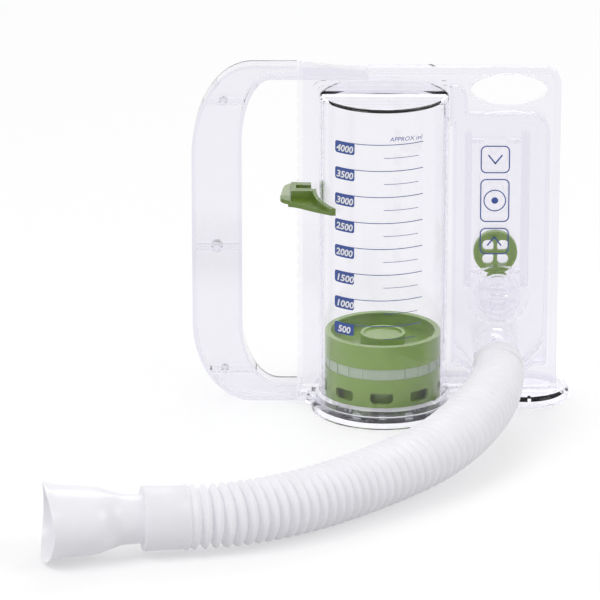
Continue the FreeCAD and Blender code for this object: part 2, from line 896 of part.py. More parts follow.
def placed(shape):
    """A mouth part moved to the hose's end, its own +X turned to the hose's last direction."""
    last = Vector(*hose_route[-1])
    run = last - Vector(*hose_route[-2])
    shape.rotate(Vector(0, 0, 0), Vector(0, 1, 0), -math.degrees(math.asin(run.z / run.Length)))
    shape.rotate(Vector(0, 0, 0), Vector(0, 0, 1), math.degrees(math.atan2(run.y, run.x)))
    shape.translate(last)
    return shape


def along(radius, x0, x1):
    """A cylinder that lies along X."""
    return Part.makeCylinder(radius, x1 - x0, Vector(x0, 0, 0), Vector(1, 0, 0))


def mouth_cuff():
    """The smooth sleeve at the hose's end that holds the mouthpiece's neck."""
    end = mouth_cuff_length
    body = along(mouth_cuff_radius - mouth_cuff_bead, 0, end).fuse([
        along(mouth_cuff_radius, 0, 2.2),
        along(mouth_cuff_radius, end - 1.6, end),
    ])
    seat = end - neck_depth
    socket = along(neck_radius + neck_gap, seat, end + 1)
    body = body.cut([socket, along(neck_radius - neck_wall, -1, seat + 1)])
    return placed(body.removeSplitter())


def oval_wire(x, half_width, half_height):
    """An upright oval across the mouthpiece, wide along Y."""
    middle = Vector(x, 0, 0)
    return Part.Wire(Part.Ellipse(Vector(x, half_width, 0), Vector(x, 0, half_height), middle).toShape())


def bell(shrink):
    """The mouthpiece's outer form, or with shrink its inner space, from neck to lip."""
    start = mouth_cuff_length + neck_length
    sections = (
        (start, bell_root_half_width, bell_root_half_height),
        (start + bell_shoulder / 2, bell_rise_half_width, bell_rise_half_height),
        (start + bell_shoulder, bell_half_width, bell_half_height),
        (start + bell_length / 2, bell_middle_half_width, bell_middle_half_height),
        (start + bell_length - lip_length, bell_end_half_width, bell_end_half_height),
        (start + bell_length, lip_half_width, lip_half_height),
    )
    wires = [oval_wire(x, width - shrink, height - shrink) for x, width, height in sections]
    return Part.makeLoft(wires, True, False)


def mouthpiece():
    """The oval bell with its flared lip and the round neck that slides into the sleeve."""
    seat = mouth_cuff_length - neck_depth + neck_gap
    start = mouth_cuff_length + neck_length
    tip = start + bell_length
    outside = joined(along(neck_radius, seat, start), bell(0))
    inside = joined(along(neck_radius - neck_wall, seat - 1, start + 1), bell(bell_wall))
    hollow_reach = math.sqrt(lip_hollow_radius ** 2 - lip_half_height ** 2)
    hollow_start = Vector(tip + hollow_reach, -beyond, 0)
    end_cut = Part.makeCylinder(lip_hollow_radius, 2 * beyond, hollow_start, Vector(0, 1, 0))
    return placed(outside.cut([inside, end_cut]))


def piston_cup():
    """The piston's open top: a rim, a short skirt and a floor."""
    outer = chamber_radius - chamber_wall - piston_gap
    skirt = post(outer, band_top_z, cup_top_z).cut(post(outer - piston_wall, band_top_z - 1, cup_top_z + 1))
    deck = post(outer - 0.1, cup_floor_z - cup_floor_thickness, cup_floor_z)
    lip = post(outer, cup_top_z - cup_lip, cup_top_z)
    lip = lip.cut(post(outer - 2 * piston_wall, band_top_z, cup_top_z + 1))
    cup = joined(skirt, deck, lip)
    return cup.cut(post(hub_spigot_radius + weld_gap, cup_floor_z - 9, cup_floor_z + 1))


def piston_band():
    """The translucent band between the cup and the skirt, with upright ribs."""
    outer = chamber_radius - chamber_wall - piston_gap
    face = outer - band_recess
    band = post(face, skirt_top_z, band_top_z)
    ribs = []
    for i in range(band_ribs):
        rib = box(face - 0.4, outer - 0.1, -band_rib_width / 2, band_rib_width / 2, skirt_top_z, band_top_z)
        rib.rotate(Vector(0, 0, 0), Vector(0, 0, 1), 360.0 * (i + 0.5) / band_ribs)
        ribs.append(rib)
    band = joined(band, *ribs)
    return band.cut(post(outer - piston_wall - band_recess, skirt_top_z - 1, band_top_z + 1))


def piston_skirt():
    """The piston's lower skirt, with a row of oblong slots in front of an inner wall."""
    outer = chamber_radius - chamber_wall - piston_gap
    inner = outer - piston_wall - skirt_inner_gap
    skirt = post(outer, piston_rest_z, skirt_top_z).cut(post(outer - piston_wall, 0, skirt_top_z + 1))
    flange = post(outer - piston_wall / 2, piston_rest_z, piston_rest_z + skirt_flange)
    wall = post(inner, piston_rest_z, skirt_top_z)
    skirt = joined(skirt, flange, wall).cut(post(inner - skirt_flange, 0, skirt_top_z + 1))
    half = slot_width / 2
    tall = slot_height / 2
    corners = [(-half, slot_z - tall, tall - 0.3), (half, slot_z - tall, tall - 0.3),
               (half, slot_z + tall, 1.2), (-half, slot_z + tall, 1.2)]
    face = rounded_face(corners, upright)
    slots = []
    for i in range(slot_count):
        slot = standing(face, -outer - 2, -outer + piston_wall + skirt_inner_gap / 2)
        slot.rotate(Vector(0, 0, 0), Vector(0, 0, 1), 360.0 * i / slot_count - 2)
        slots.append(slot)
    return skirt.cut(slots)


def piston_hub():
    """The round cap in the middle of the piston's floor."""
    cap = post(hub_radius, cup_floor_z, hub_top_z)
    dish = post(hub_radius - hub_wall, hub_top_z - 0.9, hub_top_z + 1)
    under = post(hub_radius - hub_wall, cup_floor_z - 1, hub_top_z - 0.9 - hub_wall)
    spigot = post(hub_spigot_radius, cup_floor_z - cup_floor_thickness, hub_top_z - hub_wall)
    return joined(cap.cut([dish, under]), spigot)


def slider_plate_face():
    """The goal slider seen from above: a finger wing, a front lip and a curved pointer."""
    horn = chamber_radius + slider_horn_gap
    start = math.radians(182.5)
    end = math.radians(220.5)
    middle = (start + end) / 2
    a = Vector(horn * math.cos(start), horn * math.sin(start), 0)
    m = Vector(horn * math.cos(middle), horn * math.sin(middle), 0)
    b = Vector(horn * math.cos(end), horn * math.sin(end), 0)
    tip = b + Vector(-0.3, -2.1, 0)
    lip_right = Vector(rail_tip_x + 1.5, -11.6, 0)
    lip_left = Vector(slider_left + 6.0, -9.6, 0)
    wing_front = Vector(slider_left, -3.6, 0)
    wing_rear = Vector(slider_left + 1.6, 7.0, 0)
    rear_left = Vector(slider_left + 6.5, 11.6, 0)
    rear_right = Vector(rail_tip_x - 0.8, 11.6, 0)
    inner_rear = Vector(rail_tip_x - 0.8, -1.0, 0)
    edges = [
        Part.Arc(a, m, b).toShape(),
        Part.makeLine(b, tip),
        Part.Arc(tip, Vector(-33.2, -18.6, 0), lip_right).toShape(),
        Part.makeLine(lip_right, lip_left),
        Part.Arc(lip_left, Vector(slider_left + 1.7, -7.6, 0), wing_front).toShape(),
        Part.makeLine(wing_front, wing_rear),
        Part.Arc(wing_rear, Vector(slider_left + 3.6, 10.2, 0), rear_left).toShape(),
        Part.makeLine(rear_left, rear_right),
        Part.makeLine(rear_right, inner_rear),
        Part.makeLine(inner_rear, a),
    ]
    return Part.Face(Part.Wire(edges))


def side_profile(points, x0, x1):
    """A solid from its outline in the YZ plane, as long as x0 to x1."""
    corners = [Vector(x0, y, z) for y, z in points]
    return Part.Face(Part.makePolygon(corners + corners[:1])).extrude(Vector(x1 - x0, 0, 0))


def goal_slider():
    """The clip on the rail, with its finger wing and the pointer that hugs the chamber."""
    low = slider_low_z
    tip_y = -24.0
    knee = low + slider_knee_lift
    rear = low + slider_rear_lift
    wing = slider_wing_low_z
    thick = slider_plate
    under = [(tip_y, low), (slider_flat_y, low), (slider_knee_y, knee), (slider_rear_y + 1, rear)]
    above = [(y, z + thick) for y, z in reversed(under)]
    wing_under = [(tip_y, wing), (slider_flat_y, wing), (slider_knee_y, wing + slider_knee_lift)]
    wing_under = wing_under + [(slider_rear_y + 1, rear)]
    wing_above = [(y, z + thick) for y, z in reversed(wing_under)]
    outline = lying(slider_plate_face(), low - 1, low + 20)
    plate = outline.common(side_profile(under + above, slider_wing_right - 1, -20.0))
    finger = outline.common(side_profile(wing_under + wing_above, slider_left - 1, slider_wing_right))
    front_y = parting_y - sheet - slider_slot_gap
    rear_y = parting_y + sheet + slider_slot_gap
    arm_y = front_y - slider_arm
    clip_end = rear_y + slider_rear_arm
    horn = chamber_radius + slider_horn_gap
    tops = [(slider_rear_y + 1, slider_arm_rear_top), (arm_y, slider_arm_front_top)]
    body = side_profile(under + tops + [(tip_y, slider_horn_tip_top)], slider_left - 1, -20.0)
    clip = joined(
        box(slider_clip_left, -horn - 0.4, arm_y, front_y, low - 1, low + 20),
        box(slider_clip_left, rail_tip_x - slider_slot_gap - 0.1, arm_y, clip_end, low - 1, low + 20),
        box(slider_clip_left, -36.0, rear_y, clip_end, low - 1, low + 20),
        post(horn + slider_ridge, low - 1, low + 20).cut(post(horn, low - 2, low + 21)).common(
            box(-horn - 5, -24.0, -23.5, front_y - 0.5, low - 1, low + 20)
        ),
    )
    slider = joined(plate, finger, clip.common(body))
    slot = box(rail_tip_x - slider_slot_gap, 0, front_y, rear_y, low - 2, low + 22)
    relief = box(pad_left - slider_slot_gap, 0, front_y - pad_rise, rear_y, low - 2, low + 22)
    return slider.cut([slot, relief])


PARTS = (
    front_shell,
    rear_shell,
    handle_front,
    handle_back,
    base_plate,
    chamber_floor,
    flow_cover,
    float_guides,
    flow_float,
    valve_cage,
    valve_flap,
    port_tube,
    port_cuff,
    hose,
    mouth_cuff,
    mouthpiece,
    piston_cup,
    piston_band,
    piston_skirt,
    piston_hub,
    goal_slider,
)

os.makedirs("parts", exist_ok=True)
for make in PARTS:
    shape = make()
    print(make.__name__, "valid", shape.isValid(), "solids", len(shape.Solids), "volume", round(shape.Volume))
    shape.exportStep("parts/" + make.__name__ + ".step")
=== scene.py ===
import bpy
import math
from mathutils import Matrix, Vector


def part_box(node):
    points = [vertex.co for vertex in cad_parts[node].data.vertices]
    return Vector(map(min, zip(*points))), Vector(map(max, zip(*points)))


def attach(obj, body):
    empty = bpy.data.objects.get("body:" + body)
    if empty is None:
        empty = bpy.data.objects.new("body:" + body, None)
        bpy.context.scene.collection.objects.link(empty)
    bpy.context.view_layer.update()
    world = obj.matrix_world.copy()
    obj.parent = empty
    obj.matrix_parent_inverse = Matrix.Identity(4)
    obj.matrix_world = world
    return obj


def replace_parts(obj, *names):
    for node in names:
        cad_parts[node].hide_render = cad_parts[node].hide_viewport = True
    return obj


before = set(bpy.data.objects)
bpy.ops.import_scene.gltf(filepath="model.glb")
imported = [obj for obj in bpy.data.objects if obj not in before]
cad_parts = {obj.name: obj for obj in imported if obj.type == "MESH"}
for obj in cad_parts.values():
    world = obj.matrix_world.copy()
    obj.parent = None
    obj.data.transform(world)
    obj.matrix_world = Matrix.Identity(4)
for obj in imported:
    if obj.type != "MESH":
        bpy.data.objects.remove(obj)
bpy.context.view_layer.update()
MM = 0.001

# The camera stands as in the photograph
camera_place = (-0.0415, -2.05693, 0.73161)
camera_tilt = 71.7
camera_lens = 260.0
camera_sensor = 36.0
camera_reach = 20.0

# Chamber and cover, as in the solids
chamber_radius = 32.0 * MM
cover_inset = 5.0 * MM
cover_face_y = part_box("flow_cover")[0].y + cover_inset

# Ink: how far it stands off the plastic, and how far in front of the chamber it is drawn
ink_lift = 0.06 * MM
print_distance = 8 * MM
letter_curve_steps = 3

# Printed volume scale on the chamber's front
volume_step = 500
volume_marks = 8
lowest_mark_z = 48.1 * MM
mark_pitch = 13.3 * MM
mark_left = -14.9 * MM
mark_right = 18.6 * MM
mark_thickness = 0.42 * MM
mark_columns = 24
short_mark_left = -0.6 * MM
short_mark_right = 16.4 * MM
short_mark_thickness = 0.3 * MM
short_mark_columns = 16
scale_tilt = math.radians(1.2)
label_left = -24.3 * MM
label_height = 5.9 * MM
label_corner = 1.1 * MM
label_columns = 40
digit_height = 4.7 * MM
digits_width = 8.2 * MM
digit_count = 4
digit_nudge = 0.1 * MM
digit_drawn_closer = 1 * MM
digit_slant = 0.18
digit_weight = 0.03
unit_height = 3.1 * MM
unit_left = 2.2 * MM
unit_low = 143.0 * MM
unit_slant = 0.2

# Printed windows on the cover
window_middle_x = 54.9 * MM
window_half_width = 7.25 * MM
window_levels = ((119.0 * MM, 133.2 * MM), (93.8 * MM, 116.1 * MM), (77.0 * MM, 90.8 * MM))
window_line = 0.6 * MM
window_corner = 2.9 * MM
window_corner_steps = 8
arrow_half_width = 3.3 * MM
arrow_drop = 4.2 * MM
arrow_line = 0.75 * MM
arrow_overlap = 0.6
target_radius = 5.6 * MM
target_line = 0.55 * MM
target_dot = 1.7 * MM
target_sides = 48

# Hose, along the same points as its solid
hose_points = (
    (0.0566, -0.0390, 0.0268),
    (0.0543, -0.0597, 0.0267),
    (0.0479, -0.0844, 0.0251),
    (0.0361, -0.1100, 0.0220),
    (0.0195, -0.1344, 0.0187),
    (-0.0017, -0.1559, 0.0172),
    (-0.0243, -0.1764, 0.0161),
    (-0.0447, -0.1925, 0.0163),
    (-0.0612, -0.2019, 0.0164),
    (-0.0726, -0.2067, 0.0165),
    (-0.0830, -0.2097, 0.01675),
    (-0.0926, -0.2114, 0.01704),
)
hose_diameter = 30.0 * MM
hose_start_radius = 12.5 * MM
hose_growth_length = 80.0 * MM
ridge_pitch = 4.85 * MM
# Millimetres from the port, and the depth of the ridges there in millimetres
ridge_depths = ((0, 0.5), (70, 0.8), (140, 2.3), (190, 2.9), (233, 4.0), (238, 2.6), (244, 0.8))
ridge_sharpness = 0.8
rings_per_ridge = 10
hose_sides = 56
hose_line_steps = 24

# Mouthpiece: place along it, half width and half height of each ring, in millimetres
mouth_profile = (
    (6.3, 11.3, 11.3),
    (28.5, 11.3, 11.3),
    (31.5, 11.4, 12.0),
    (34.0, 12.0, 12.9),
    (36.0, 13.3, 13.4),
    (38.5, 15.7, 14.0),
    (41.0, 17.3, 14.7),
    (44.0, 18.3, 15.2),
    (50.0, 18.8, 15.6),
    (57.0, 19.3, 16.2),
    (61.5, 19.9, 16.9),
    (64.3, 20.7, 17.8),
    (66.6, 21.2, 18.8),
)
mouth_wall = 1.4 * MM
lip_hollow_radius = 60 * MM
lip_hollow_reach = 57.3 * MM
lip_hollow_width = 80 * MM
lip_hollow_sides = 256

# Sleeves: the mouth sleeve's rings as above, the port sleeve's as place and radius, in millimetres
mouth_sleeve_rings = (
    (-1.6, 13.4, 13.4), (0.0, 14.2, 14.2), (0.5, 15.0, 15.0), (1.8, 15.0, 15.0), (2.3, 14.6, 14.6),
    (12.0, 14.6, 14.6), (19.0, 14.9, 14.9), (20.2, 15.15, 15.15), (21.0, 14.8, 14.8), (21.0, 11.3, 11.3),
)
mouth_sleeve_skin = 0.2 * MM
port_sleeve_rings = ((10.9, 12.15), (10.2, 12.45), (0.6, 12.45), (0.0, 12.3), (0.0, 11.8), (10.9, 11.8))
sleeve_sides = 64
weld_distance = 0.01 * MM

# Finishes
shadow_tint = (0.985, 0.985, 0.99)
polish_weight = 0.5
polish_index = 1.5
flow_mark_scale = 60.0
flow_mark_detail = 3.0
flow_mark_dark = 0.93
flow_mark_light = 1.06
glow_depth = 0.004
ink_roughness = 0.5

# Light and surroundings
light_bounces = 40
surroundings_light = 0.62
surroundings_seen = 1.0
floor_size = 8.0
floor_drop = 0.0002
floor_shade = (0.62, 0.62, 0.625)
floor_roughness = 0.9
floor_glow = 0.41
lamp_size = 1.0
lamps = (
    ("lamp_left", (-1.1, -1.0, 1.5), (-0.03, -0.05, 0.06), 11.0),
    ("lamp_right", (1.4, -0.7, 1.2), (0.0, -0.05, 0.08), 6.0),
    ("lamp_rear", (0.2, 1.4, 1.6), (0.0, 0.0, 0.08), 6.0),
)


def let_go():
    """Nothing is selected and no piece is being edited."""
    if bpy.context.object and bpy.context.object.mode != "OBJECT":
        bpy.ops.object.mode_set(mode="OBJECT")
    bpy.ops.object.select_all(action="DESELECT")


def pick(piece):
    """Only this piece is selected."""
    let_go()
    piece.select_set(True)
    bpy.context.view_layer.objects.active = piece


def apply_modifier(piece, kind, **settings):
    """Adds a modifier and applies it."""
    pick(piece)
    modifier = piece.modifiers.new(kind.lower(), kind)
    for name, value in settings.items():
        setattr(modifier, name, value)
    bpy.ops.object.modifier_apply(modifier=modifier.name)


def settle(piece, name, body, material, smooth=None):
    """Names a piece, applies its place, gives it a finish and lets it ride on its body."""
    pick(piece)
    piece.name = name
    bpy.ops.object.transform_apply(location=True, rotation=True, scale=True)
    piece.data.materials.clear()
    piece.data.materials.append(material)
    if smooth is not None:
        bpy.ops.object.shade_smooth_by_angle(angle=math.radians(smooth))
    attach(piece, body)
    return piece


def join(pieces):
    """Several pieces made one."""
    let_go()
    for piece in pieces:
        piece.select_set(True)
    bpy.context.view_layer.objects.active = pieces[0]
    bpy.ops.object.join()
    return pieces[0]


def shader(name):
    """A new material with its tree and its Principled shader."""
    material = bpy.data.materials.new(name)
    material.use_nodes = True
    tree = material.node_tree
    return material, tree, tree.nodes["Principled BSDF"]


def clear_plastic(name, tint, smoke, depth, index, roughness=0.02):
    """Polished clear moulding: smoke and depth colour the light on long ways through it."""
    material, tree, surface = shader(name)
    surface.inputs["Base Color"].default_value = (*tint, 1)
    surface.inputs["Roughness"].default_value = roughness
    surface.inputs["IOR"].default_value = index
    surface.inputs["Coat Weight"].default_value = polish_weight
    surface.inputs["Coat IOR"].default_value = polish_index
    surface.inputs["Transmission Weight"].default_value = 1.0
    absorption = tree.nodes.new("ShaderNodeVolumeAbsorption")
    absorption.inputs["Color"].default_value = (*smoke, 1)
    absorption.inputs["Density"].default_value = depth
    through = tree.nodes.new("ShaderNodeBsdfTransparent")
    through.inputs["Color"].default_value = (*shadow_tint, 1)
    rays = tree.nodes.new("ShaderNodeLightPath")
    mix = tree.nodes.new("ShaderNodeMixShader")
    output = tree.nodes["Material Output"]
    tree.links.new(rays.outputs["Is Shadow Ray"], mix.inputs["Fac"])
    tree.links.new(surface.outputs["BSDF"], mix.inputs[1])
    tree.links.new(through.outputs["BSDF"], mix.inputs[2])
    tree.links.new(mix.outputs["Shader"], output.inputs["Surface"])
    tree.links.new(absorption.outputs["Volume"], output.inputs["Volume"])
    return material


def moulded(name, colour, roughness, coat=0.0, glow=0.0, painted_glow_strength=0.0):
    """Solid-coloured moulding with faint flow marks; the last but one is the light it lets through under
    its skin, the last a painted glow in its own colour that lightens its shaded sides.
    """
    material, tree, surface = shader(name)
    noise = tree.nodes.new("ShaderNodeTexNoise")
    place = tree.nodes.new("ShaderNodeTexCoord")
    ramp = tree.nodes.new("ShaderNodeValToRGB")
    noise.inputs["Scale"].default_value = flow_mark_scale
    noise.inputs["Detail"].default_value = flow_mark_detail
    ramp.color_ramp.elements[0].color = (*[c * flow_mark_dark for c in colour], 1)
    ramp.color_ramp.elements[1].color = (*[min(1.0, c * flow_mark_light) for c in colour], 1)
    tree.links.new(place.outputs["Object"], noise.inputs["Vector"])
    tree.links.new(noise.outputs["Fac"], ramp.inputs["Fac"])
    tree.links.new(ramp.outputs["Color"], surface.inputs["Base Color"])
    surface.inputs["Roughness"].default_value = roughness
    surface.inputs["Coat Weight"].default_value = coat
    surface.inputs["Subsurface Weight"].default_value = glow
    surface.inputs["Subsurface Radius"].default_value = (glow_depth, glow_depth, glow_depth)
    surface.inputs["Subsurface Scale"].default_value = 1.0
    # Painted glow: the moulding shines in its own colour, which lightens its shaded sides.
    surface.inputs["Emission Color"].default_value = (*colour, 1)
    surface.inputs["Emission Strength"].default_value = painted_glow_strength
    return material


def printed(name, colour):
    """Flat screen-printed ink."""
    material, _, surface = shader(name)
    surface.inputs["Base Color"].default_value = (*colour, 1)
    surface.inputs["Roughness"].default_value = ink_roughness
    return material


CLEAR = clear_plastic("clear_shell_plastic", (0.955, 0.95, 0.97), (0.6, 0.6, 0.78), 14.0, 1.2)
CLEAR_HANDLE = clear_plastic("clear_handle_plastic", (0.945, 0.94, 0.96), (0.5, 0.5, 0.74), 16.0, 1.4)
CLEAR_BASE = clear_plastic("clear_foot_plastic", (0.95, 0.945, 0.965), (0.6, 0.6, 0.78), 16.0, 1.15)
PISTON_GREEN = moulded("piston_green_plastic", (0.19, 0.315, 0.05), 0.28, 0.3)
FLOAT_GREEN = moulded("float_green_plastic", (0.165, 0.28, 0.03), 0.3, 0.3)
SLIDER_GREEN = moulded("slider_green_plastic", (0.115, 0.2, 0.015), 0.28, 0.5)
BAND_PALE = moulded("piston_band_pale_plastic", (0.4, 0.49, 0.36), 0.35, 0.2, 0.3)
# The hose and mouthpiece shine with a painted glow in their own colour that lightens their shaded sides.
HOSE_MILKY = moulded("hose_milky_plastic", (0.76, 0.755, 0.785), 0.4, 0.0, 0.15, 0.18)
MOUTH_MILKY = moulded("mouthpiece_milky_plastic", (0.77, 0.765, 0.8), 0.28, 0.2, 0.2, 0.15)
FLAP_FILM = clear_plastic("valve_flap_film", (0.94, 0.94, 0.97), (0.8, 0.8, 0.9), 20.0, 1.2, 0.3)
INK_BLUE = printed("ink_blue", (0.045, 0.09, 0.33))
INK_LINE = printed("ink_slate", (0.10, 0.14, 0.33))
INK_WHITE = printed("ink_white", (0.9, 0.9, 0.93))


def place_camera():
    """The camera of the photograph."""
    data = bpy.data.cameras.new("camera")
    data.lens = camera_lens
    data.sensor_width = camera_sensor
    data.clip_end = camera_reach
    camera = bpy.data.objects.new("camera", data)
    bpy.context.scene.collection.objects.link(camera)
    camera.location = camera_place
    camera.rotation_euler = (math.radians(camera_tilt), 0, 0)
    bpy.context.scene.camera = camera


def soft_lamp(name, place, target, power):
    """A large square lamp that looks at a point."""
    data = bpy.data.lights.new(name, "AREA")
    data.energy = power
    data.size = lamp_size
    lamp = bpy.data.objects.new(name, data)
    bpy.context.scene.collection.objects.link(lamp)
    lamp.location = place
    lamp.rotation_euler = (Vector(target) - Vector(place)).to_track_quat("-Z", "Y").to_euler()


def seen_rays(tree):
    """1 for camera, mirror and glass rays, 0 for the rest."""
    rays = tree.nodes.new("ShaderNodeLightPath")
    first = tree.nodes.new("ShaderNodeMath")
    second = tree.nodes.new("ShaderNodeMath")
    first.operation = "MAXIMUM"
    second.operation = "MAXIMUM"
    tree.links.new(rays.outputs["Is Camera Ray"], first.inputs[0])
    tree.links.new(rays.outputs["Is Glossy Ray"], first.inputs[1])
    tree.links.new(first.outputs["Value"], second.inputs[0])
    tree.links.new(rays.outputs["Is Transmission Ray"], second.inputs[1])
    return second.outputs["Value"]


def studio():
    """White surroundings, a pale floor and three soft lamps."""
    scene = bpy.context.scene
    scene.view_settings.view_transform = "Standard"
    scene.cycles.max_bounces = light_bounces
    scene.cycles.transmission_bounces = light_bounces
    scene.cycles.transparent_max_bounces = light_bounces
    world = bpy.data.worlds.new("surroundings")
    scene.world = world
    world.use_nodes = True
    tree = world.node_tree
    strength = tree.nodes.new("ShaderNodeMapRange")
    strength.inputs["To Min"].default_value = surroundings_light
    strength.inputs["To Max"].default_value = surroundings_seen
    background = tree.nodes["Background"]
    background.inputs["Color"].default_value = (1, 1, 1, 1)
    tree.links.new(seen_rays(tree), strength.inputs["Value"])
    tree.links.new(strength.outputs["Result"], background.inputs["Strength"])

    bpy.ops.mesh.primitive_plane_add(size=floor_size, location=(0, 0, -floor_drop))
    floor = bpy.context.object
    floor.name = "floor"
    material, tree, surface = shader("floor_pale")
    surface.inputs["Base Color"].default_value = (*floor_shade, 1)
    surface.inputs["Roughness"].default_value = floor_roughness
    surface.inputs["Specular IOR Level"].default_value = 0.0
    surface.inputs["Emission Color"].default_value = (1, 1, 1, 1)
    glow = tree.nodes.new("ShaderNodeMath")
    glow.operation = "MULTIPLY"
    glow.inputs[1].default_value = floor_glow
    tree.links.new(seen_rays(tree), glow.inputs[0])
    tree.links.new(glow.outputs["Value"], surface.inputs["Emission Strength"])
    floor.data.materials.append(material)
    for name, place, target, power in lamps:
        soft_lamp(name, place, target, power)


def hose_line():
    """Evenly spaced points on the hose's smooth middle line, its length and the number of steps."""
    curve = bpy.data.curves.new("hose_middle", "CURVE")
    curve.dimensions = "3D"
    spline = curve.splines.new("NURBS")
    spline.points.add(len(hose_points) - 1)
    for point, place in zip(spline.points, hose_points):
        point.co = (*place, 1)
    spline.order_u = 3
    spline.use_endpoint_u = True
    spline.resolution_u = hose_line_steps
    holder = bpy.data.objects.new("hose_middle", curve)
    bpy.context.scene.collection.objects.link(holder)
    mesh = bpy.data.meshes.new_from_object(holder)
    line = [vertex.co.copy() for vertex in mesh.vertices]
    bpy.data.objects.remove(holder)
    bpy.data.meshes.remove(mesh)
    travelled = [0.0]
    for a, b in zip(line, line[1:]):
        travelled.append(travelled[-1] + (b - a).length)
    ridges = round(travelled[-1] / ridge_pitch)
    steps = ridges * rings_per_ridge
    even, at = [], 0
    for i in range(steps + 1):
        want = travelled[-1] * i / steps
        while at < len(line) - 2 and travelled[at + 1] < want:
            at += 1
        share = (want - travelled[at]) / (travelled[at + 1] - travelled[at])
        even.append(line[at].lerp(line[at + 1], share))
    return even, travelled[-1], steps


def ridge_depth(place):
    """The depth of the ridges at this many millimetres from the port, in millimetres."""
    for (start, first), (end, last) in zip(ridge_depths, ridge_depths[1:]):
        if place <= end:
            return first + (last - first) * (place - start) / (end - start)
    return ridge_depths[-1][1]


def make_hose():
    """The corrugated hose: rings whose radius rises and falls along the smooth line."""
    line, length, steps = hose_line()
    corners, faces = [], []
    for i, middle in enumerate(line):
        ahead = (line[min(i + 1, steps)] - line[max(i - 1, 0)]).normalized()
        side = ahead.cross(Vector((0, 0, 1))).normalized()
        over = side.cross(ahead)
        grown = min(1.0, length * i / steps / hose_growth_length)
        crest = hose_start_radius + (hose_diameter / 2 - hose_start_radius) * math.sin(grown * math.pi / 2)
        wave = 0.5 - 0.5 * math.cos(2 * math.pi * i / rings_per_ridge)
        depth = ridge_depth(length * i / steps / MM) * MM
        radius = crest - depth * (1 - wave ** ridge_sharpness)
        for k in range(hose_sides):
            turn = 2 * math.pi * k / hose_sides
            corners.append(middle + side * (radius * math.cos(turn)) + over * (radius * math.sin(turn)))
    for i in range(steps):
        for k in range(hose_sides):
            a, b = i * hose_sides + k, i * hose_sides + (k + 1) % hose_sides
            faces.append((a, b, b + hose_sides, a + hose_sides))
    faces.append(tuple(range(hose_sides))[::-1])
    faces.append(tuple(steps * hose_sides + k for k in range(hose_sides)))
    mesh = bpy.data.meshes.new("corrugated_hose")
    mesh.from_pydata(corners, [], faces)
    hose = bpy.data.objects.new("corrugated_hose", mesh)
    bpy.context.scene.collection.objects.link(hose)
    pick(hose)
    bpy.ops.object.mode_set(mode="EDIT")
    bpy.ops.mesh.select_all(action="SELECT")
    bpy.ops.mesh.normals_make_consistent(inside=False)
    bpy.ops.object.mode_set(mode="OBJECT")
    settle(hose, "corrugated_hose", "housing", HOSE_MILKY, smooth=60)
    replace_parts(hose, "hose")
    return hose, line, length


def mouth_frame():
    """The matrix that puts the mouth parts, made along +X, at the hose's end."""
    last, before = Vector(hose_points[-1]), Vector(hose_points[-2])
    ahead = (last - before).normalized()
    side = Vector((0, 0, 1)).cross(ahead).normalized()
    over = ahead.cross(side)
    matrix = Matrix((ahead, side, over)).transposed().to_4x4()
    matrix.translation = last
    return matrix


def extruded_rings(profile):
    """An open skin along +X, extruded ring by ring: (place, half width, half height) in millimetres."""
    place, width, height = profile[0]
    bpy.ops.mesh.primitive_circle_add(vertices=sleeve_sides, radius=1.0, location=(0, 0, 0))
    piece = bpy.context.object
    bpy.ops.object.mode_set(mode="EDIT")
    bpy.ops.mesh.select_all(action="SELECT")
    bpy.ops.transform.resize(value=(height * MM, width * MM, 1))
    bpy.ops.transform.translate(value=(0, 0, place * MM))
    for before, after in zip(profile, profile[1:]):
        step = (after[0] - before[0]) * MM
        bpy.ops.mesh.extrude_region_move(TRANSFORM_OT_translate={"value": (0, 0, step)})
        bpy.ops.transform.resize(value=(after[2] / before[2], after[1] / before[1], 1))
    bpy.ops.mesh.select_all(action="SELECT")
    bpy.ops.mesh.normals_make_consistent(inside=False)
    bpy.ops.object.mode_set(mode="OBJECT")
    turned = Matrix(((0, 0, 1), (0, 1, 0), (-1, 0, 0))).to_4x4()
    piece.matrix_world = mouth_frame() @ turned
    return piece


def make_mouthpiece():
    """The oval mouthpiece: a smooth bell with a flared, hollowed lip on a round neck."""
    piece = extruded_rings(mouth_profile)
    pick(piece)
    bpy.ops.object.transform_apply(location=True, rotation=True, scale=True)
    apply_modifier(piece, "SOLIDIFY", thickness=mouth_wall, offset=-1.0)
    apply_modifier(piece, "SUBSURF", levels=1, render_levels=1)
    bpy.ops.mesh.primitive_cylinder_add(
        vertices=lip_hollow_sides, radius=lip_hollow_radius, depth=lip_hollow_width
    )
    cutter = bpy.context.object
    beyond_tip = Matrix.Translation((mouth_profile[-1][0] * MM + lip_hollow_reach, 0, 0))
    cutter.matrix_world = mouth_frame() @ beyond_tip @ Matrix.Rotation(math.pi / 2, 4, "X")
    apply_modifier(piece, "BOOLEAN", object=cutter, operation="DIFFERENCE", solver="EXACT")
    bpy.data.objects.remove(cutter)
    settle(piece, "oval_mouthpiece", "mouthpiece", MOUTH_MILKY, smooth=50)
    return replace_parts(piece, "mouthpiece")


